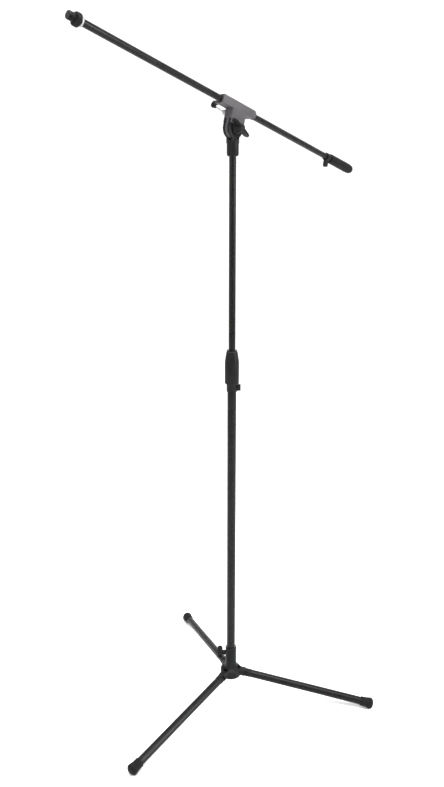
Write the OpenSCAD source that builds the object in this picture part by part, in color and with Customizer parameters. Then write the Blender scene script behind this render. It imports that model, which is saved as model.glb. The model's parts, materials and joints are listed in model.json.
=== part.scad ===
// Boom microphone stand: folding three-leg base, two-stage mast, tilting clamp and sliding boom.
// Millimetres. Z is the mast axis, z = 0 is the floor, and the microphone end of the boom is at +X.

/* [Base] */
// Distance from the mast axis to the widest ring of each foot
foot_reach = 368; // [340:1:375]
// Turn of the first leg away from the boom's direction
leg_turn = 4.7; // [0:0.1:30]
// Outer diameter of the leg tubes
leg_d = 20; // [19:0.5:20.5]
// Height of the leg hinge pins
leg_pin_z = 73; // [70:1:76]
// Largest radius of a rubber foot
foot_r = 14.3; // [13.5:0.1:15]
// Top of the hub collar
hub_top = 146; // [140:1:152]
// Outer radius of the hub collar
collar_r = 14.5; // [14:0.1:15]

/* [Mast] */
// Outer diameter of the lower tube
lower_d = 22; // [21.8:0.1:22]
// Top of the lower tube
lower_top = 895; // [885:1:900]
// Outer diameter of the upper tube
upper_d = 16; // [15.6:0.1:16]
// Length of the upper tube
upper_len = 784; // [700:1:790]
// Top of the upper tube
upper_top = 1384; // [1384:1:1384]
// Largest radius of the clutch grip
grip_r = 17; // [16:0.1:18]

/* [Boom] */
// Height of the tilt pivot
pivot_z = 1440; // [1440:1:1440]
// Upward tilt of the boom
boom_tilt = 15.7; // [0:0.1:40]
// Distance from the tilt pivot to the boom's axis
boom_offset = 45; // [45:0.5:46]
// Outer diameter of the boom tube
boom_d = 14; // [13.5:0.1:14]
// Reach of the boom tube on the microphone side
boom_front = 418; // [380:1:440]
// Reach of the boom tube on the weighted side
boom_back = 387; // [360:1:410]
// Half the length of the clamp's cross bar
bar_half = 54; // [50:1:58]
// Radius of the 5/8 inch microphone thread
stud_r = 7.94; // [7.9:0.01:7.94]

/* [Hidden] */
$fn = 48;

tube_wall = 1.5;
gap = 0.05;            // radial gap between pieces that fit in each other
pin_reach = 28;        // hinge pin to mast axis
pin_r = 3;
foot_ring_z = foot_r - 0.6;                          // leaves a small flat under each foot
leg_slope = atan2(leg_pin_z - foot_ring_z, foot_reach - pin_reach);
ring_s = (foot_reach - pin_reach) / cos(leg_slope);  // along the leg, pin to widest ring
arm_start = 14;
arm_end = 26;
foot_len_in = 24;      // part of the foot before its widest ring
skirt_r = 27;
skirt_low = 61;
skirt_top = 84;
screw_z = 125;
lug_turn = 134;        // direction of the clutch collar's clamp lug
collar_low = 847;
grip_low = 866;
grip_top = 944;
swivel_low = 1382;
swivel_top = 1417;
cheek_r = 22;          // round cheeks of the swivel fork
cheek_in = 4.1;
cheek_out = 9.5;
tongue_r = 21.5;       // half-tongue of each clamp shell, between the cheeks
tongue_out = 3.2;
bolt_r = 4;
skin_in = 9.7;         // part of each shell that overlaps a cheek
lug_out = 11.5;
lug_low = 6;           // lower edge of that overlap, above the pivot
arch_r = 15;           // arch round the knob in that edge
thread_pitch_r = 7.6;  // stud and nut meet at the thread's pitch radius
nut_start = 6;         // lock nut, counted from the end of the boom tube
nut_t = 12;
stud_len = 30;
bar_r = 9;
lever_u = 22;
lever_w = 30;

// ---------- places ----------
module on_leg(k)
    rotate([0, 0, leg_turn + 120 * (k - 1)])
        translate([pin_reach, 0, leg_pin_z])
            rotate([0, leg_slope, 0]) children();

module on_hub_screw()
    rotate([0, 0, leg_turn + 300]) translate([0, 0, screw_z]) children();

module at_pivot()
    translate([0, 0, pivot_z]) rotate([0, -boom_tilt, 0]) children();

module on_boom() at_pivot() translate([0, 0, boom_offset]) children();

// ---------- shapes ----------
// Cylinder along X from x0 to x1
module rod_x(r, x0, x1) translate([x0, 0, 0]) rotate([0, 90, 0]) cylinder(r = r, h = x1 - x0);

// Cylinder along Y from y0 to y1
module rod_y(r, y0, y1) translate([0, y1, 0]) rotate([90, 0, 0]) cylinder(r = r, h = y1 - y0);

// Cylinder along Z from z0 to z1
module rod_z(r, z0, z1) translate([0, 0, z0]) cylinder(r = r, h = z1 - z0);

// Ring or tube along Z
module pipe_z(r_out, r_in, z0, z1) difference() {
    rod_z(r_out, z0, z1);
    rod_z(r_in, z0 - 1, z1 + 1);
}

// Ring or tube along X
module pipe_x(r_out, r_in, x0, x1) difference() {
    rod_x(r_out, x0, x1);
    rod_x(r_in, x0 - 1, x1 + 1);
}

// Plate in the X-Z plane, from y0 to y1
module plate(y0, y1) translate([0, y1, 0]) rotate([90, 0, 0]) linear_extrude(y1 - y0) children();

// ---------- base ----------
module leg_hub() color([0.16, 0.16, 0.17]) difference() {
    union() {
        rotate_extrude() polygon([[0, skirt_low], [skirt_r - 2, skirt_low], [skirt_r, skirt_low + 2],
            [skirt_r, skirt_top - 4], [skirt_r - 3, skirt_top - 1], [collar_r + 1.9, skirt_top + 2.5],
            [collar_r, skirt_top + 16], [collar_r, hub_top - 1.5],
            [collar_r - 1.5, hub_top], [0, hub_top]]);
        for (k = [1:3]) on_leg(k) rod_x(leg_d / 2 + 1.5, -16, 10.4);
        on_hub_screw() rod_x(6.5, 10, 18);
    }
    rod_z(12.5, 0, 200);
    on_hub_screw() rod_x(4 + gap, 8, 30);
    for (k = [1:3]) rotate([0, 0, leg_turn + 120 * (k - 1)]) {
        translate([18, -6.3, 40]) cube([40, 12.6, 70]);
        translate([pin_reach, 0, leg_pin_z]) rod_y(pin_r + 0.02, -30, 30);
    }
}

module hub_bush() color([0.1, 0.1, 0.1]) difference() {
    pipe_z(12.5 - gap, lower_d / 2 + 0.1, 94, hub_top - 2);
    on_hub_screw() rod_x(4.3, 5, 20);
}

module hub_screw_shank() color([0.6, 0.6, 0.62]) on_hub_screw() rod_x(4, lower_d / 2 + 0.4, 27);

module hub_screw_wing() color([0.07, 0.07, 0.07]) on_hub_screw() difference() {
    union() {
        rod_x(6.5, 18.6, 29);
        plate(-2.5, 2.5) {
            translate([22, -12]) square([14, 24]);
            for (side = [-1, 1]) translate([29, 12 * side]) circle(r = 7);
        }
    }
    rod_x(4 + gap, 10, 27 + gap);
}

module leg_pins() color([0.5, 0.5, 0.52])
    for (k = [1:3]) rotate([0, 0, leg_turn + 120 * (k - 1)])
        translate([pin_reach, 0, leg_pin_z]) rod_y(pin_r, -10.5, 10.5);

module leg_arm(k) color([0.14, 0.14, 0.15]) on_leg(k) difference() {
    union() {
        rod_y(9, -6, 6);
        translate([0, -6, -8.5]) cube([arm_start + 1, 12, 17]);
        rod_x(leg_d / 2 + 0.5, arm_start, arm_end);
        rod_x(leg_d / 2 - tube_wall - gap, arm_end - 1, arm_end + 25);
    }
    rod_y(pin_r + gap, -20, 20);
}

module leg_tube(k) color([0.09, 0.09, 0.1]) on_leg(k)
    pipe_x(leg_d / 2, leg_d / 2 - tube_wall, arm_end + gap, ring_s - 2);

module foot(k) color([0.05, 0.05, 0.05]) intersection() {
    on_leg(k) difference() {
        translate([ring_s, 0, 0]) rotate([0, 90, 0]) rotate_extrude() polygon([
            [0, -foot_len_in], [leg_d / 2 + 1.4, -foot_len_in], [leg_d / 2 + 1.8, -foot_len_in + 2],
            [leg_d / 2 + 2.3, -10], [foot_r - 0.5, -3], [foot_r, 0], [foot_r - 0.6, 3],
            [foot_r - 2.6, 6], [foot_r - 6, 8], [0, 9.5]]);
        rod_x(leg_d / 2 + gap, 0, ring_s - 2 + gap);
    }
    translate([-500, -500, 0]) cube([1000, 1000, 200]);
}

// ---------- mast ----------
module lower_tube() color([0.1, 0.1, 0.11])
    pipe_z(lower_d / 2, lower_d / 2 - tube_wall, 62, lower_top);

module lower_end_cone() color([0.2, 0.2, 0.2]) union() {
    rod_z(lower_d / 2 - tube_wall - gap, 60, 85);
    translate([0, 0, 52]) cylinder(r1 = 9, r2 = 12, h = 9.9);
}

module clutch_collar() color([0.09, 0.09, 0.1]) difference() {
    union() {
        rod_z(13, collar_low, grip_low + 1);
        rod_z(13.4, grip_low + 1, lower_top - gap);
        rotate([0, 0, lug_turn]) translate([10, -5, collar_low + 2]) cube([11, 10, 15]);
    }
    rod_z(lower_d / 2 + gap, 0, 2000);
    rotate([0, 0, lug_turn]) translate([11.5, -0.8, 0]) cube([20, 1.6, grip_low - 0.5]);
    rotate([0, 0, lug_turn]) translate([17, 0, collar_low + 9.5]) rod_y(2 + gap, -10, 10);
}

module clutch_screw() color([0.6, 0.6, 0.62])
    rotate([0, 0, lug_turn]) translate([17, 0, collar_low + 9.5]) {
        rod_y(2, -8, 9);
        rod_y(3.6, 5.05, 8);
        translate([0, -5.05, 0]) rotate([90, 0, 0]) cylinder(r = 4, h = 3, $fn = 6);
    }

module clutch_collet() color([0.75, 0.75, 0.72]) difference() {
    union() {
        rod_z(12, lower_top + gap, 925);
        rod_z(10.5, 925, grip_top + 0.4);
    }
    rod_z(upper_d / 2 + 0.1, 0, 2000);
    for (turn = [0, 90]) rotate([0, 0, turn]) translate([-20, -0.6, 905]) cube([40, 1.2, 30]);
}

module clutch_ring() color([0.12, 0.12, 0.12])
    pipe_z(12.5, upper_d / 2 + 0.3, grip_top + 0.5, grip_top + 3.5);

module clutch_grip() color([0.12, 0.12, 0.12]) difference() {
    rotate_extrude() polygon([[13.8, grip_low], [grip_r - 0.8, grip_low], [grip_r, grip_low + 2],
        [grip_r, 917], [grip_r - 0.5, 922], [grip_r - 1.8, 931], [13.6, grip_top - 2],
        [12.7, grip_top], [10.9, grip_top], [10.9, 941], [12.3, 939], [12.3, 903], [13.8, 901]]);
    for (i = [0:17]) rotate([0, 0, i * 20]) translate([grip_r + 1.4, 0, grip_low - 1]) cylinder(r = 2, h = 52);
}

module upper_guide() color([0.8, 0.8, 0.76]) difference() {
    rod_z(lower_d / 2 - tube_wall - gap, upper_top - upper_len - 6, upper_top - upper_len + 40);
    rod_z(upper_d / 2 + gap, upper_top - upper_len - 0.5, 2000);
}

module upper_tube() color([0.09, 0.09, 0.1])
    pipe_z(upper_d / 2, upper_d / 2 - tube_wall, upper_top - upper_len, upper_top);

module upper_stud() color([0.6, 0.6, 0.62]) union() {
    rod_z(upper_d / 2 - tube_wall - gap, upper_top - 24, upper_top + 0.5);
    rod_z(7, upper_top + gap, 1402);
}

module swivel_base() color([0.13, 0.13, 0.14]) difference() {
    union() {
        rotate_extrude() polygon([[0, swivel_low], [10.5, swivel_low], [12.4, swivel_low + 1.4],
            [13.4, swivel_low + 5], [13.4, swivel_top - 2], [12, swivel_top], [0, swivel_top]]);
        for (side = [0, 1]) mirror([0, side, 0]) {
            translate([-11, cheek_in, swivel_top - 8]) cube([22, cheek_out - cheek_in, 18]);
            translate([0, 0, pivot_z]) rod_y(cheek_r, cheek_in, cheek_out);
        }
    }
    rod_z(upper_d / 2 + gap, swivel_low - 1, upper_top + 0.02);
    rod_z(7 + gap, swivel_low, 1402 + gap);
    translate([0, 0, pivot_z]) rod_y(bolt_r + 0.1, -30, 30);
}

// ---------- tilting clamp ----------
// Cross bar: cut square at the microphone end and rounded at the other
module bar_outline() {
    translate([-bar_half + bar_r, boom_offset - bar_r]) square([2 * bar_half - bar_r, 2 * bar_r]);
    translate([-bar_half + bar_r, boom_offset]) circle(r = bar_r);
}

// One half of the clamp, on the +Y side
module clamp_shell() difference() {
    union() {
        difference() {
            plate(0.15, lug_out) {
                bar_outline();
                translate([-21, lug_low]) square([42, boom_offset - lug_low]);
            }
            rod_y(cheek_r + 0.4, tongue_out, skin_in);
            translate([-30, tongue_out, -10]) cube([60, skin_in - tongue_out, 26]);
            rod_y(arch_r, tongue_out, 30);
        }
        rod_y(tongue_r, 0.15, tongue_out);
    }
    translate([0, 0, boom_offset]) {
        rod_x(boom_d / 2 + 0.3, -100, 100);
        for (side = [-1, 1]) translate([side * (bar_half - 4), 0, 0]) rod_x(8.2, -6, 6);
    }
    rod_y(bolt_r + gap, -30, 30);
}

module clamp_front() color([0.3, 0.3, 0.31]) at_pivot() clamp_shell();

module clamp_back() color([0.28, 0.28, 0.29]) at_pivot() mirror([0, 1, 0]) difference() {
    clamp_shell();
    translate([lever_u - 6, 0, lever_w]) rod_y(3 + gap, 1, 30);
}

module friction_washers() color([0.7, 0.7, 0.68]) at_pivot()
    for (side = [0, 1]) mirror([0, side, 0]) difference() {
        rod_y(17, tongue_out + gap, cheek_in - gap);
        rod_y(bolt_r + 0.1, 0, 10);
    }

module pivot_bolt() color([0.5, 0.5, 0.52]) at_pivot() union() {
    rod_y(bolt_r, -cheek_out - 1, 26);
    translate([0, -cheek_out - 0.1, 0]) rotate([90, 0, 0]) cylinder(r = 7.5, h = 5, $fn = 6);
}

module wing_knob() color([0.08, 0.08, 0.08]) at_pivot() rotate([0, boom_tilt - 38, 0]) difference() {
    union() {
        rod_y(13, 9.7, 14);
        rod_y(9, 13, 30);
        rod_y(6, 29, 32);
        for (side = [-1, 1]) {
            translate([side * 12 - 8, 14.5, -2.2]) cube([16, 17, 4.4]);
            translate([side * 20.5, 23, -2.2]) cylinder(r = 8.5, h = 4.4);
        }
    }
    rod_y(6 + gap, 5, 26.5);
}

module wing_insert() color([0.7, 0.6, 0.35]) at_pivot() difference() {
    rod_y(6, 12, 24);
    rod_y(bolt_r + gap, 0, 40);
}

// Lever frame: X runs out along the sloping rod
module on_lever()
    at_pivot() translate([lever_u - 6, -lug_out - 4, lever_w]) rotate([0, 0, -68]) rotate([0, -27, 0]) children();

module boom_lock_lever() color([0.72, 0.72, 0.74]) union() {
    at_pivot() translate([lever_u - 6, 0, lever_w]) {
        rod_y(3, -lug_out - 2, -1);
        rod_y(6, -lug_out - 8, -lug_out - gap);
    }
    on_lever() rod_x(3.4, 0, 31);
}

module boom_lock_cap() color([0.06, 0.06, 0.06]) on_lever() difference() {
    union() {
        rod_x(6, 26, 31);
        rod_x(8, 30.5, 37);
    }
    rod_x(3.4 + gap, 20, 31 + gap);
}

module clamp_bushes() color([0.07, 0.07, 0.07]) on_boom()
    for (side = [-1, 1]) pipe_x(8.15, boom_d / 2 + 0.1, side * (bar_half - 4) - 5.5, side * (bar_half - 4) + 5.5);

// ---------- boom ----------
module boom_tube() color([0.12, 0.12, 0.13]) on_boom() pipe_x(boom_d / 2, 5.8, -boom_back, boom_front);

module mic_stud() color([0.45, 0.45, 0.47]) on_boom() union() {
    rod_x(5.8 - gap, boom_front - 20, boom_front + 5);
    rod_x(thread_pitch_r, boom_front + 4 + gap, boom_front + stud_len - 1);
    rod_x(stud_r, boom_front + nut_start + nut_t + 0.3, boom_front + stud_len);
}

module stud_washer() color([0.8, 0.8, 0.82]) on_boom() pipe_x(9.4, 5.8, boom_front + gap, boom_front + 4);

module lock_ring() color([0.06, 0.06, 0.06]) on_boom() translate([boom_front + nut_start, 0, 0])
    difference() {
        rotate([0, 90, 0]) linear_extrude(nut_t) union() {
            circle(r = 10.2);
            for (turn = [0, 120, 240]) rotate(turn) translate([8.6, 0]) circle(r = 5);
        }
        rod_x(thread_pitch_r + gap, -5, 30);
    }

module end_grip() color([0.07, 0.07, 0.07]) on_boom() difference() {
    translate([-boom_back + 28, 0, 0]) rotate([0, -90, 0]) rotate_extrude() polygon([
        [0, 0], [10.6, 0], [11.4, 1.5], [11.4, 6], [11, 8], [11.6, 30], [11.8, 70], [11.4, 86],
        [10.4, 93], [8.2, 98], [5, 100.6], [0, 101.5]]);
    rod_x(boom_d / 2 + gap, -boom_back - gap, 0);
    rod_x(8.6, -boom_back - 52, -boom_back - 1);
}

module end_weight() color([0.5, 0.5, 0.5]) on_boom() rod_x(8.55, -boom_back - 51.9, -boom_back - 1.1);

module end_collar() color([0.09, 0.09, 0.09]) on_boom() difference() {
    union() {
        rod_x(9.6, -boom_back + 30, -boom_back + 44);
        translate([-boom_back + 32, -4, -19]) cube([11, 8, 14]);
        translate([-boom_back + 37.5, 0, -19]) rod_y(5.5, -4, 4);
    }
    rod_x(boom_d / 2 + gap, -boom_back, 0);
}

leg_hub();
hub_bush();
hub_screw_shank();
hub_screw_wing();
leg_pins();
leg_arm(1);  // leg_arm_1
leg_arm(2);  // leg_arm_2
leg_arm(3);  // leg_arm_3
leg_tube(1);  // leg_tube_1
leg_tube(2);  // leg_tube_2
leg_tube(3);  // leg_tube_3
foot(1);  // foot_1
foot(2);  // foot_2
foot(3);  // foot_3
lower_tube();
lower_end_cone();
clutch_collar();
clutch_screw();
clutch_collet();
clutch_ring();
clutch_grip();
upper_guide();
upper_tube();
upper_stud();
swivel_base();
clamp_front();
clamp_back();
friction_washers();
pivot_bolt();
wing_knob();
wing_insert();
boom_lock_lever();
boom_lock_cap();
clamp_bushes();
boom_tube();
mic_stud();
lock_ring();
stud_washer();
end_grip();
end_weight();
end_collar();
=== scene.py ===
# %% [markdown]
# # A boom microphone stand
# The stand is a folding base with three legs, a two-stage mast with a hand clutch, a T-shaped
# tilting clamp and a boom tube that slides through it.  The working parts come from a CAD frame.
# Here each of them gets its finish, and the moulded and cast pieces get their real edges.

# %% Load the frame
import json
import math
import bpy
from mathutils import Matrix, Vector

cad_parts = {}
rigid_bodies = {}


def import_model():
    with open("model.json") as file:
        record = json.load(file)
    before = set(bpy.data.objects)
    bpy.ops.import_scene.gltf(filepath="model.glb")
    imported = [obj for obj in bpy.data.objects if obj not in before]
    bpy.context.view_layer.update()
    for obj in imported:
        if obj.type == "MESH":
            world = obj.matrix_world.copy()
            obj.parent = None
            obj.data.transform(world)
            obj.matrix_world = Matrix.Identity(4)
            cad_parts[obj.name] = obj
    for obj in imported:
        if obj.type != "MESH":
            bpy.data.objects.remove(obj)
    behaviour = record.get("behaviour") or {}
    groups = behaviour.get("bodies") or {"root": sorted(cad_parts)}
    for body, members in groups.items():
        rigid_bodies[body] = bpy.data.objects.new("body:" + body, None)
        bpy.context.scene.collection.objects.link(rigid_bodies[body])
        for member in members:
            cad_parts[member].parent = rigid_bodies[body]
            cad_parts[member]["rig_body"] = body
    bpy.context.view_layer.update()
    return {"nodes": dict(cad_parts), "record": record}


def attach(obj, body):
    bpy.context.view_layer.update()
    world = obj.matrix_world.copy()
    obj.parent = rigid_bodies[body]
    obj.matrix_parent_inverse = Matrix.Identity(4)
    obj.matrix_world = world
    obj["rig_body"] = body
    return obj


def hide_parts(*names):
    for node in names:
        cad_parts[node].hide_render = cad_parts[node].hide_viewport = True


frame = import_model()
NODES = frame["nodes"]
print("loaded", len(NODES), "CAD nodes")

# %% [markdown]
# ## Camera
# The stand was seen from a little above the middle of its mast, 43 degrees round from the way
# the boom points.  The camera stands there, 1.7 m from the mast.

# %% Camera
CAMERA_TURN = math.radians(42.85)
CAMERA_DISTANCE = 1.707
CAMERA_HEIGHT = 1.324
CAMERA_PITCH = math.radians(15.8)
LOOK_TURN = math.radians(223.64)
LENS_MM = 33.9

camera_data = bpy.data.cameras.new("camera")
camera_data.lens = LENS_MM
camera_data.sensor_width = 36
camera = bpy.data.objects.new("camera", camera_data)
bpy.context.scene.collection.objects.link(camera)
camera.location = (CAMERA_DISTANCE * math.cos(CAMERA_TURN),
                   CAMERA_DISTANCE * math.sin(CAMERA_TURN), CAMERA_HEIGHT)
look = Vector((math.cos(LOOK_TURN) * math.cos(CAMERA_PITCH),
               math.sin(LOOK_TURN) * math.cos(CAMERA_PITCH), -math.sin(CAMERA_PITCH)))
camera.rotation_euler = look.to_track_quat("-Z", "Y").to_euler()
bpy.context.scene.camera = camera

# %% [markdown]
# ## Finishes
# Every finish is a node material on Object coordinates.  Two noises at different scales do most
# of the work: a broad one moves the colour and the roughness a little, as handling does, and a
# fine one raises the surface as powder coat, sand casting or moulded plastic does.


# %% Finish helper
def finish(name, dark, light, rough, grain, relief, metallic=0.0, gloss=0.10,
           stretch=(1, 1, 1)):
    """A material between two colours, with a roughness range and a fine grain of given relief.
    gloss is the strength of its clear reflection."""
    made = bpy.data.materials.new(name)
    made.use_nodes = True
    tree = made.node_tree
    shader = tree.nodes["Principled BSDF"]
    shader.inputs["Metallic"].default_value = metallic
    shader.inputs["Specular IOR Level"].default_value = gloss
    place = tree.nodes.new("ShaderNodeTexCoord")
    mapping = tree.nodes.new("ShaderNodeMapping")
    mapping.inputs["Scale"].default_value = stretch
    tree.links.new(place.outputs["Object"], mapping.inputs["Vector"])
    broad = tree.nodes.new("ShaderNodeTexNoise")
    broad.inputs["Scale"].default_value = 38
    broad.inputs["Detail"].default_value = 6
    fine = tree.nodes.new("ShaderNodeTexNoise")
    fine.inputs["Scale"].default_value = grain
    fine.inputs["Detail"].default_value = 3
    for noise in (broad, fine):
        tree.links.new(mapping.outputs["Vector"], noise.inputs["Vector"])
    ramp = tree.nodes.new("ShaderNodeValToRGB")
    ramp.color_ramp.elements[0].position = 0.3
    ramp.color_ramp.elements[0].color = (*dark, 1)
    ramp.color_ramp.elements[1].position = 0.75
    ramp.color_ramp.elements[1].color = (*light, 1)
    tree.links.new(broad.outputs["Fac"], ramp.inputs["Fac"])
    tree.links.new(ramp.outputs["Color"], shader.inputs["Base Color"])
    spread = tree.nodes.new("ShaderNodeMapRange")
    spread.inputs["From Min"].default_value = 0.3
    spread.inputs["From Max"].default_value = 0.7
    spread.inputs["To Min"].default_value = rough[0]
    spread.inputs["To Max"].default_value = rough[1]
    tree.links.new(broad.outputs["Fac"], spread.inputs["Value"])
    tree.links.new(spread.outputs["Result"], shader.inputs["Roughness"])
    bump = tree.nodes.new("ShaderNodeBump")
    bump.inputs["Strength"].default_value = relief
    bump.inputs["Distance"].default_value = 0.0004
    tree.links.new(fine.outputs["Fac"], bump.inputs["Height"])
    tree.links.new(bump.outputs["Normal"], shader.inputs["Normal"])
    return made


# %% The stand's finishes
FINISHES = {
    "coated_tube": finish("powder_coat", (0.003, 0.003, 0.003), (0.006, 0.006, 0.006),
                          (0.24, 0.34), 1500, 0.10, gloss=0.14),
    "cast": finish("coated_casting", (0.004, 0.004, 0.004), (0.010, 0.010, 0.011),
                   (0.38, 0.52), 900, 0.22),
    "clamp_shell": finish("satin_casting", (0.046, 0.043, 0.046), (0.066, 0.062, 0.066),
                          (0.36, 0.46), 1100, 0.16),
    "rubber": finish("black_rubber", (0.003, 0.003, 0.003), (0.007, 0.007, 0.007),
                     (0.55, 0.72), 1300, 0.25),
    "black_plastic": finish("moulded_plastic", (0.004, 0.004, 0.004), (0.009, 0.009, 0.009),
                            (0.34, 0.46), 1700, 0.14),
    "bush_plastic": finish("natural_plastic", (0.50, 0.50, 0.46), (0.62, 0.61, 0.57),
                           (0.40, 0.50), 900, 0.08),
    "dark_steel": finish("blackened_steel", (0.012, 0.012, 0.013), (0.028, 0.028, 0.030),
                         (0.34, 0.46), 1200, 0.12, metallic=0.6, stretch=(1, 6, 6)),
    "bright_steel": finish("plated_steel", (0.24, 0.24, 0.25), (0.36, 0.36, 0.37),
                           (0.22, 0.36), 1200, 0.10, metallic=1.0, stretch=(1, 6, 6)),
    "brass": finish("turned_brass", (0.45, 0.32, 0.12), (0.62, 0.46, 0.20),
                    (0.25, 0.35), 1200, 0.08, metallic=1.0),
}
SLOT_OF = {part["node"]: part["material_slot"] for part in frame["record"]["subparts"]}
BODY_OF = {name: node["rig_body"] for name, node in NODES.items()}


def wear(piece, material):
    """Gives a piece one finish on all its faces."""
    piece.data.materials.clear()
    piece.data.materials.append(material)


for node_name, node in NODES.items():
    wear(node, FINISHES[SLOT_OF[node_name]])
print("finishes on", len(NODES), "nodes")


# %% [markdown]
# ## Hands for modelling
# A new primitive is selected all over and the CAD nodes may be selected too, so each step first
# lets go of everything.  A finished piece has its place in its mesh, rides on a body and stands
# for the CAD node that it refines.

# %% Modelling helpers
MM = 0.001
PIVOT = Vector((0, 0, 1.440))
TILT = math.radians(15.7)
BOOM_OFFSET = 45 * MM
# Reach of the boom tube before and behind the pivot, in mm as the turned profiles are
BOOM_FRONT = 418
BOOM_BACK = 387
CLAMP_PLACE = Matrix.Translation(PIVOT) @ Matrix.Rotation(-TILT, 4, "Y")
BOOM_PLACE = CLAMP_PLACE @ Matrix.Translation((0, 0, BOOM_OFFSET))
LEG_TURN = 4.7


def let_go():
    """Leaves edit mode and deselects every object."""
    if bpy.context.mode != "OBJECT":
        bpy.ops.object.mode_set(mode="OBJECT")
    bpy.ops.object.select_all(action="DESELECT")


def take(piece):
    """Makes one piece the only selected and active object."""
    let_go()
    piece.select_set(True)
    bpy.context.view_layer.objects.active = piece


def apply_all(piece):
    """Applies every modifier of a piece, in order."""
    take(piece)
    for modifier in list(piece.modifiers):
        bpy.ops.object.modifier_apply(modifier=modifier.name)


def bevel(piece, width, segments=2, angle=32):
    """Rounds the edges that are sharper than an angle."""
    rounded = piece.modifiers.new("edges", "BEVEL")
    rounded.width = width
    rounded.segments = segments
    rounded.limit_method = "ANGLE"
    rounded.angle_limit = math.radians(angle)
    rounded.use_clamp_overlap = True


def settle(piece, place):
    """Moves a piece modelled at the origin to its place, inside its mesh."""
    take(piece)
    bpy.ops.object.transform_apply(location=True, rotation=True, scale=True)
    piece.data.transform(place)
    bpy.ops.object.shade_smooth_by_angle(angle=math.radians(35))


def stand_for(piece, node_name):
    """The piece replaces a CAD node: it rides on its body and wears the finish of the node's slot."""
    wear(piece, FINISHES[SLOT_OF[node_name]])
    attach(piece, BODY_OF[node_name])
    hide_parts(node_name)


def turned(name, profile, place, steps=64, lobes=None):
    """A turned piece: rings of a closed (radius, height) profile, extruded one from another.
    lobes(angle, radius) may give another radius, for ribs and lobes.  Lengths are in mm."""
    let_go()
    radius, height = profile[0]
    bpy.ops.mesh.primitive_circle_add(vertices=steps, radius=radius * MM, location=(0, 0, 0))
    piece = bpy.context.active_object
    piece.name = name
    bpy.ops.object.mode_set(mode="EDIT")
    bpy.ops.mesh.select_all(action="SELECT")
    bpy.ops.transform.translate(value=(0, 0, height * MM))
    for next_radius, next_height in profile[1:] + profile[:1]:
        rise = (next_height - height) * MM
        grow = next_radius / radius
        bpy.ops.mesh.extrude_edges_move(TRANSFORM_OT_translate={"value": (0, 0, rise)})
        bpy.ops.transform.resize(value=(grow, grow, 1), center_override=(0, 0, 0))
        radius, height = next_radius, next_height
    bpy.ops.mesh.select_all(action="SELECT")
    bpy.ops.mesh.remove_doubles(threshold=1e-6)
    bpy.ops.mesh.normals_make_consistent(inside=False)
    bpy.ops.object.mode_set(mode="OBJECT")
    if lobes:
        for vertex in piece.data.vertices:
            at = math.atan2(vertex.co.y, vertex.co.x)
            now = math.hypot(vertex.co.x, vertex.co.y)
            ratio = lobes(at, now / MM) * MM / now
            vertex.co.x *= ratio
            vertex.co.y *= ratio
    settle(piece, place)
    return piece


def softened(node_name, width, segments=2):
    """A copy of a CAD node with its facets joined and its sharp edges rounded."""
    source = NODES[node_name]
    piece = bpy.data.objects.new(node_name + "_cast", source.data.copy())
    bpy.context.scene.collection.objects.link(piece)
    take(piece)
    bpy.ops.object.mode_set(mode="EDIT")
    bpy.ops.mesh.select_all(action="SELECT")
    bpy.ops.mesh.remove_doubles(threshold=2e-6)
    bpy.ops.mesh.dissolve_limited(angle_limit=math.radians(1.0))
    bpy.ops.object.mode_set(mode="OBJECT")
    bevel(piece, width, segments)
    apply_all(piece)
    bpy.ops.object.shade_smooth_by_angle(angle=math.radians(40))
    stand_for(piece, node_name)
    return piece


# %% [markdown]
# ## Studio
# The stand is shown on seamless white.  A pale floor that curls up into a round wall a long way
# off gives that from every side, and large soft lights draw the long highlights on the tubes.

# %% Floor and round wall
FLOOR_RADIUS = 5.0
COVE = 2.0
let_go()
bpy.ops.mesh.primitive_circle_add(vertices=128, radius=FLOOR_RADIUS, fill_type="NGON")
studio = bpy.context.active_object
studio.name = "studio_floor"
bpy.ops.object.mode_set(mode="EDIT")
bpy.ops.mesh.select_all(action="SELECT")
bpy.ops.mesh.inset(thickness=0.001)
bpy.ops.mesh.select_all(action="INVERT")
bpy.ops.object.mode_set(mode="OBJECT")
for vertex in studio.data.vertices:
    vertex.select = vertex.co.length > FLOOR_RADIUS - 0.0005
for edge in studio.data.edges:
    edge.select = all(studio.data.vertices[i].select for i in edge.vertices)
for face in studio.data.polygons:
    face.select = False
bpy.ops.object.mode_set(mode="EDIT")
bpy.ops.mesh.select_mode(type="EDGE")
radius_now = FLOOR_RADIUS
for step in range(1, 9):
    turn = math.radians(90) * step / 8
    before = math.radians(90) * (step - 1) / 8
    radius_next = FLOOR_RADIUS + COVE * math.sin(turn)
    rise = COVE * (math.cos(before) - math.cos(turn))
    bpy.ops.mesh.extrude_edges_move(TRANSFORM_OT_translate={"value": (0, 0, rise)})
    grow = radius_next / radius_now
    bpy.ops.transform.resize(value=(grow, grow, 1), center_override=(0, 0, 0))
    radius_now = radius_next
bpy.ops.mesh.extrude_edges_move(TRANSFORM_OT_translate={"value": (0, 0, 2.0)})
bpy.ops.object.mode_set(mode="OBJECT")
bpy.ops.object.shade_smooth()
paper = bpy.data.materials.new("white_paper")
paper.use_nodes = True
paper.node_tree.nodes["Principled BSDF"].inputs["Base Color"].default_value = (0.9, 0.9, 0.9, 1)
paper.node_tree.nodes["Principled BSDF"].inputs["Roughness"].default_value = 0.9
wear(studio, paper)


# %% Lights
def soft_light(name, place, size, power, aim=(0, 0, 0.9)):
    """A square softbox that faces a point on the mast."""
    data = bpy.data.lights.new(name, "AREA")
    data.shape = "RECTANGLE"
    data.size, data.size_y = size
    data.energy = power
    lamp = bpy.data.objects.new(name, data)
    bpy.context.scene.collection.objects.link(lamp)
    lamp.location = place
    lamp.rotation_euler = (Vector(aim) - Vector(place)).to_track_quat("-Z", "Y").to_euler()


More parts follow.
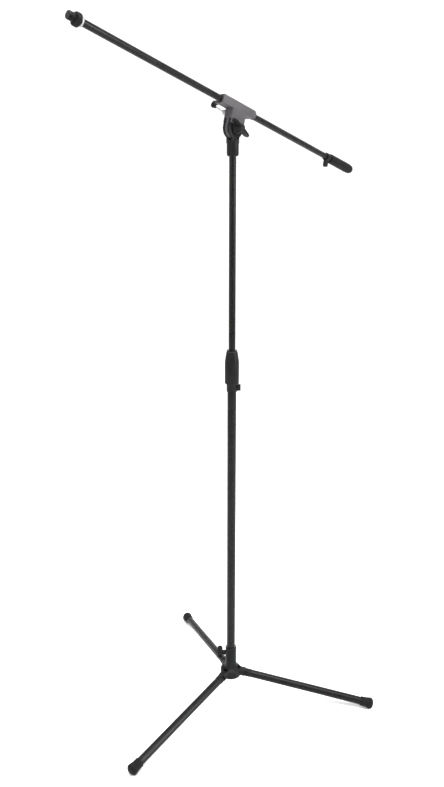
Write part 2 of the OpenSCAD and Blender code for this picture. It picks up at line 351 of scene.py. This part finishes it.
soft_light("top_box", (0.5, 0.7, 3.6), (2.4, 2.4), 170)
soft_light("key_box", (-1.2, 2.9, 2.0), (0.45, 2.4), 110)
soft_light("fill_box", (2.9, -0.9, 1.6), (1.6, 2.2), 25)
soft_light("back_box", (-2.6, -1.8, 2.2), (2.0, 2.0), 35)

world = bpy.data.worlds.new("white_room")
world.use_nodes = True
world.node_tree.nodes["Background"].inputs["Color"].default_value = (1, 1, 1, 1)
world.node_tree.nodes["Background"].inputs["Strength"].default_value = 1.0
bpy.context.scene.world = world
bpy.context.scene.view_settings.view_transform = "Standard"

# %% [markdown]
# ## Cast pieces
# The hub, the leg arms, the swivel and both clamp shells are die castings.  No casting has a
# knife edge, so each one gets rounded edges that catch the light.

# %% Cast pieces
CAST_EDGES = {"leg_hub": 0.9, "leg_arm_1": 0.8, "leg_arm_2": 0.8, "leg_arm_3": 0.8,
              "swivel_base": 0.7, "clamp_front": 1.0, "clamp_back": 1.0,
              "clutch_collar": 0.5, "end_collar": 0.9, "clutch_ring": 0.5, "stud_washer": 0.6,
              "clamp_bushes": 0.5, "pivot_bolt": 0.5}
for node_name, width in CAST_EDGES.items():
    softened(node_name, width * MM)
print("rounded", len(CAST_EDGES), "pieces")

# %% [markdown]
# ## Rubber feet
# Each foot is a flared cap over the end of a leg tube, with a lip where the tube goes in and a
# rounded end.  It is turned on the leg's axis, then cut flat where it stands on the floor.

# %% Rubber feet
PIN_REACH, PIN_HEIGHT = 28, 73
FOOT_REACH, FOOT_RING_HEIGHT = 368, 13.7
LEG_SLOPE = math.atan2(PIN_HEIGHT - FOOT_RING_HEIGHT, FOOT_REACH - PIN_REACH)
RING_ALONG = (FOOT_REACH - PIN_REACH) / math.cos(LEG_SLOPE)
FOOT_PROFILE = [(10.05, -24), (11.2, -24.2), (11.8, -23.4), (11.9, -22), (11.6, -20.6), (11.7, -19.8),
                (12.0, -14), (12.6, -8), (13.4, -4), (14.0, -1.6), (14.3, 0), (14.2, 1.6), (13.6, 3.4),
                (12.5, 5.0), (11.0, 6.6), (8.6, 8.0), (5.0, 9.1), (1.5, 9.5), (0.2, 9.5),
                (0.2, -2.0), (10.05, -2.0)]


def leg_place(leg):
    """The leg's own frame: Z runs out along the leg from its hinge pin."""
    turn = Matrix.Rotation(math.radians(LEG_TURN + 120 * (leg - 1)), 4, "Z")
    pin = Matrix.Translation((PIN_REACH * MM, 0, PIN_HEIGHT * MM))
    return turn @ pin @ Matrix.Rotation(LEG_SLOPE, 4, "Y") @ Matrix.Rotation(math.radians(90), 4, "Y")


for leg in (1, 2, 3):
    along = leg_place(leg) @ Matrix.Translation((0, 0, RING_ALONG * MM))
    foot = turned(f"rubber_foot_{leg}", FOOT_PROFILE, along)
    take(foot)
    bpy.ops.object.mode_set(mode="EDIT")
    bpy.ops.mesh.select_all(action="SELECT")
    bpy.ops.mesh.bisect(plane_co=(0, 0, 0), plane_no=(0, 0, 1), clear_inner=True, use_fill=True)
    bpy.ops.object.mode_set(mode="OBJECT")
    stand_for(foot, f"foot_{leg}")

# %% [markdown]
# ## Clutch grip
# The hand grip is a long sleeve with shallow flutes that fade out where it tapers.

# %% Clutch grip
GRIP_PROFILE = [(13.8, 866), (15.6, 866), (16.5, 866.4), (16.9, 867.4), (17, 869), (17, 880), (17, 900),
                (17, 912), (16.9, 918), (16.4, 923), (15.6, 928.5), (14.6, 935), (13.8, 940),
                (13.3, 942.6), (12.6, 943.8), (11.6, 944), (10.9, 943.6), (10.9, 941), (12.3, 939),
                (12.3, 903), (13.8, 901)]
FLUTES = 18


def fluted(angle, radius):
    """Shallow flutes in the wide part of the grip."""
    if radius < 15.2:
        return radius
    depth = min(1, (radius - 15.2) / 1.6) * 0.55
    return radius - depth * max(0, math.cos(FLUTES * angle)) ** 2


grip = turned("fluted_grip", GRIP_PROFILE, Matrix(), steps=180, lobes=fluted)
stand_for(grip, "clutch_grip")

# %% [markdown]
# ## Microphone end
# The stud has a fine 5/8 inch thread, drawn as close rings, and a three-lobed plastic nut.

# %% Threaded stud
STUD_RADIUS = 7.94
THREAD_PITCH = 25.4 / 27
THREAD_DEPTH = 0.5
STUD_START, STUD_END = BOOM_FRONT + 4.05, BOOM_FRONT + 30
turns = int((STUD_END - STUD_START - 2) / THREAD_PITCH)
stud_profile = [(0.2, BOOM_FRONT - 20), (5.75, BOOM_FRONT - 20), (5.75, STUD_START),
                (STUD_RADIUS, STUD_START)]
for turn in range(turns):
    start = STUD_START + 1 + turn * THREAD_PITCH
    stud_profile += [(STUD_RADIUS, start), (STUD_RADIUS, start + 0.2 * THREAD_PITCH),
                     (STUD_RADIUS - THREAD_DEPTH, start + 0.6 * THREAD_PITCH)]
stud_profile += [(STUD_RADIUS, STUD_END - 1.1), (7.2, STUD_END), (0.2, STUD_END)]
BOOM_LATHE = BOOM_PLACE @ Matrix.Rotation(math.radians(90), 4, "Y")
stud = turned("threaded_stud", stud_profile, BOOM_LATHE, steps=64)
stand_for(stud, "mic_stud")

# %% Three-lobed nut
NUT_START = BOOM_FRONT + 6
NUT_PROFILE = [(8.02, NUT_START + 0.4), (8.6, NUT_START), (11.2, NUT_START), (12.6, NUT_START + 0.5),
               (13.4, NUT_START + 2), (13.6, NUT_START + 4), (13.6, NUT_START + 8),
               (13.4, NUT_START + 10), (12.6, NUT_START + 11.5), (11.2, NUT_START + 12),
               (8.6, NUT_START + 12), (8.02, NUT_START + 11.6)]


def lobed(angle, radius):
    """Three lobes with deep hollows between them; the bore stays round."""
    if radius < 9:
        return radius
    return radius * (0.76 + 0.24 * (0.5 + 0.5 * math.cos(3 * angle)) ** 0.8)


nut = turned("lobed_nut", NUT_PROFILE, BOOM_LATHE, steps=120, lobes=lobed)
stand_for(nut, "lock_ring")

# %% [markdown]
# ## Rear grip
# The weighted end has a soft sleeve with two moulded rings at its mouth and a round end.

# %% Rear grip
REAR_RINGS = [(7.05, 28), (9.8, 28), (11.0, 27.5), (11.4, 26.4), (11.4, 23), (11.1, 22), (10.8, 21),
              (11.1, 20), (11.4, 19), (11.5, 0), (11.7, -30), (11.8, -46), (11.6, -56), (11.1, -63),
              (10.2, -67.6), (8.6, -70.8), (6.2, -72.7), (3.2, -73.4), (0.2, -73.5), (0.2, -53),
              (8.6, -52), (8.6, -1), (7.05, -0.1)]
REAR_PROFILE = [(radius, along - BOOM_BACK) for radius, along in REAR_RINGS]
rear_grip = turned("rear_grip", REAR_PROFILE, BOOM_LATHE)
stand_for(rear_grip, "end_grip")

# %% [markdown]
# ## Wing knobs
# A wing knob is a turned boss with one or two flat paddles.  A paddle starts as a short cylinder
# that is stretched into a stadium, thinned towards its tip and rounded; a union then makes boss
# and paddles one moulding.

# %% Paddle and union helpers
PADDLE_STEPS = 48


def paddle(reach, half_width, thickness, height, side):
    """A flat wing along +X or -X at a height on the lathe's axis, standing in the X-Z plane."""
    let_go()
    bpy.ops.mesh.primitive_cylinder_add(vertices=PADDLE_STEPS, radius=half_width * MM,
                                        depth=thickness * MM, location=(0, 0, 0))
    wing = bpy.context.active_object
    tip = (reach - half_width) * MM
    for vertex in wing.data.vertices:
        if vertex.co.x > 1e-6:
            vertex.co.x += tip
            vertex.co.z *= 0.78
        else:
            vertex.co.x *= 0.3
    bevel(wing, 0.3 * thickness * MM, segments=4)
    apply_all(wing)
    turn = Matrix.Rotation(math.radians(90), 4, "X")
    mirror = Matrix.Rotation(math.radians(0 if side > 0 else 180), 4, "Z")
    wing.data.transform(Matrix.Translation((0, 0, height * MM)) @ mirror @ turn)
    return wing


def join_solids(body, others, place):
    """Unites other solids with a body, then puts the result in its place."""
    for other in others:
        union = body.modifiers.new("union", "BOOLEAN")
        union.operation = "UNION"
        union.solver = "EXACT"
        union.object = other
        take(body)
        bpy.ops.object.modifier_apply(modifier=union.name)
        bpy.data.objects.remove(other)
    settle(body, place)


# %% Tilt knob
KNOB_REST = math.radians(38)
KNOB_TURN = TILT - KNOB_REST
KNOB_PROFILE = [(6.05, 10.1), (12.2, 10.1), (12.9, 10.6), (13, 11.6), (12.6, 13.2), (11.6, 14.3),
                (10, 15.2), (9.3, 16.8), (9, 20), (8.8, 25), (8.2, 28), (6.8, 30), (4, 30.9),
                (0.3, 31), (0.3, 26.5), (6.05, 26.5)]
KNOB_PLACE = (CLAMP_PLACE @ Matrix.Rotation(KNOB_TURN, 4, "Y")
              @ Matrix.Rotation(math.radians(-90), 4, "X"))
knob = turned("tilt_wing_knob", KNOB_PROFILE, Matrix())
join_solids(knob, [paddle(29, 8.5, 4.6, 23, side) for side in (-1, 1)], KNOB_PLACE)
stand_for(knob, "wing_knob")

# %% Base thumbscrew
SCREW_HEIGHT = 125
SCREW_PROFILE = [(4.05, 18.6), (5.9, 18.6), (6.4, 19.2), (6.5, 20.5), (6.1, 24), (6.0, 29), (5.2, 31),
                 (3.0, 32), (0.3, 32.2), (0.3, 27.05), (4.05, 27.05)]
SCREW_PLACE = (Matrix.Rotation(math.radians(LEG_TURN + 300), 4, "Z")
               @ Matrix.Translation((0, 0, SCREW_HEIGHT * MM))
               @ Matrix.Rotation(math.radians(90), 4, "Y"))
screw = turned("base_wing_screw", SCREW_PROFILE, Matrix(), steps=48)
join_solids(screw, [paddle(19, 7, 5, 29, side) for side in (-1, 1)], SCREW_PLACE)
stand_for(screw, "hub_screw_wing")

# %% Boom lock cap
CAP_PROFILE = [(3.45, 26), (5.4, 26), (6.0, 26.6), (6.0, 30.2), (7.3, 30.6), (8, 31.6), (8, 35.4),
               (7.4, 36.5), (5.8, 37), (0.3, 37), (0.3, 31.05), (3.45, 31.05)]
LEVER_START = (16 * MM, -15.5 * MM, 30 * MM)
LEVER_TURN, LEVER_SLOPE = math.radians(-68), math.radians(-27)
CAP_PLACE = (CLAMP_PLACE @ Matrix.Translation(LEVER_START)
             @ Matrix.Rotation(LEVER_TURN, 4, "Z") @ Matrix.Rotation(LEVER_SLOPE, 4, "Y")
             @ Matrix.Rotation(math.radians(90), 4, "Y"))
cap = turned("boom_lock_disc", CAP_PROFILE, CAP_PLACE, steps=48)
stand_for(cap, "boom_lock_cap")
